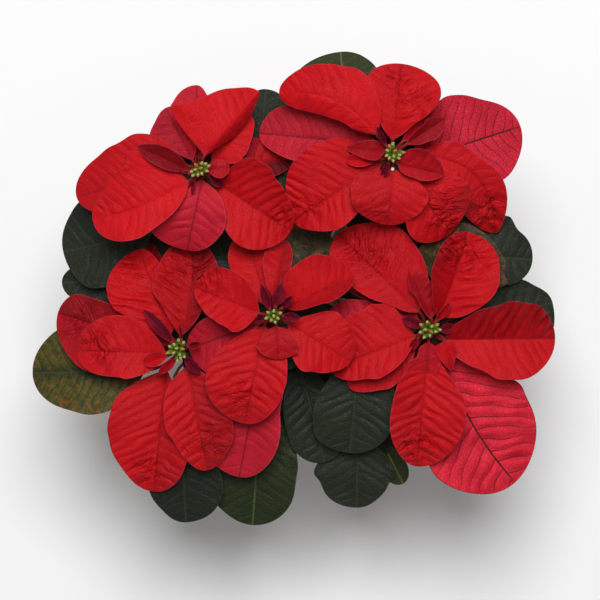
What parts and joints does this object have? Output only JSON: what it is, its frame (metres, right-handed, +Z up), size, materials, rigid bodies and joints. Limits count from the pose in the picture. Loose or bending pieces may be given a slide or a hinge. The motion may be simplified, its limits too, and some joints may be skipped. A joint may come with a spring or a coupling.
{
  "type": "potted poinsettia",
  "caption": "Flowering poinsettia with broad red bracts round small green flower cups, dark green leaves, branched stem and soil, growing in a plain round nursery pot.",
  "frame": {"origin": "centre of the pot's foot, on the surface that the pot stands on", "axes": "+Z up; +X to the right and +Y to the top of the picture, which looks straight down"},
  "size_m": [0.4004, 0.3627, 0.3103],
  "materials": {
    "pot": "satin",
    "soil": "matte",
    "stem": "matte",
    "cyathia": "satin",
    "bract": "matte",
    "leaf": "matte"
  },
  "bodies": {
    "root": {"pot": "pot", "soil": "soil", "stem": "stem", "rear_left_cyathia": "cyathia", "rear_right_cyathia": "cyathia", "centre_cyathia": "cyathia", "front_left_cyathia": "cyathia", "front_right_cyathia": "cyathia", "rear_left_bract_1": "bract", "rear_left_bract_2": "bract", "rear_left_bract_3": "bract", "rear_left_bract_4": "bract", "rear_left_bract_5": "bract", "rear_left_bract_6": "bract", "rear_left_bract_7": "bract", "rear_left_bract_8": "bract", "rear_left_bract_9": "bract", "rear_right_bract_1": "bract", "rear_right_bract_2": "bract", "rear_right_bract_3": "bract", "rear_right_bract_4": "bract", "rear_right_bract_5": "bract", "rear_right_bract_6": "bract", "rear_right_bract_7": "bract", "rear_right_bract_8": "bract", "rear_right_bract_9": "bract", "centre_bract_1": "bract", "centre_bract_2": "bract", "centre_bract_3": "bract", "centre_bract_4": "bract", "centre_bract_5": "bract", "centre_bract_6": "bract", "centre_bract_7": "bract", "centre_bract_8": "bract", "centre_bract_9": "bract", "front_left_bract_1": "bract", "front_left_bract_2": "bract", "front_left_bract_3": "bract", "front_left_bract_4": "bract", "front_left_bract_5": "bract", "front_left_bract_6": "bract", "front_right_bract_1": "bract", "front_right_bract_2": "bract", "front_right_bract_3": "bract", "front_right_bract_4": "bract", "front_right_bract_5": "bract", "front_right_bract_6": "bract", "front_right_bract_7": "bract", "leaf_1": "leaf", "leaf_2": "leaf", "leaf_3": "leaf", "leaf_4": "leaf", "leaf_5": "leaf", "leaf_6": "leaf", "leaf_7": "leaf", "leaf_8": "leaf", "leaf_9": "leaf", "leaf_10": "leaf", "leaf_11": "leaf", "leaf_12": "leaf"}
  },
  "joints": []
}
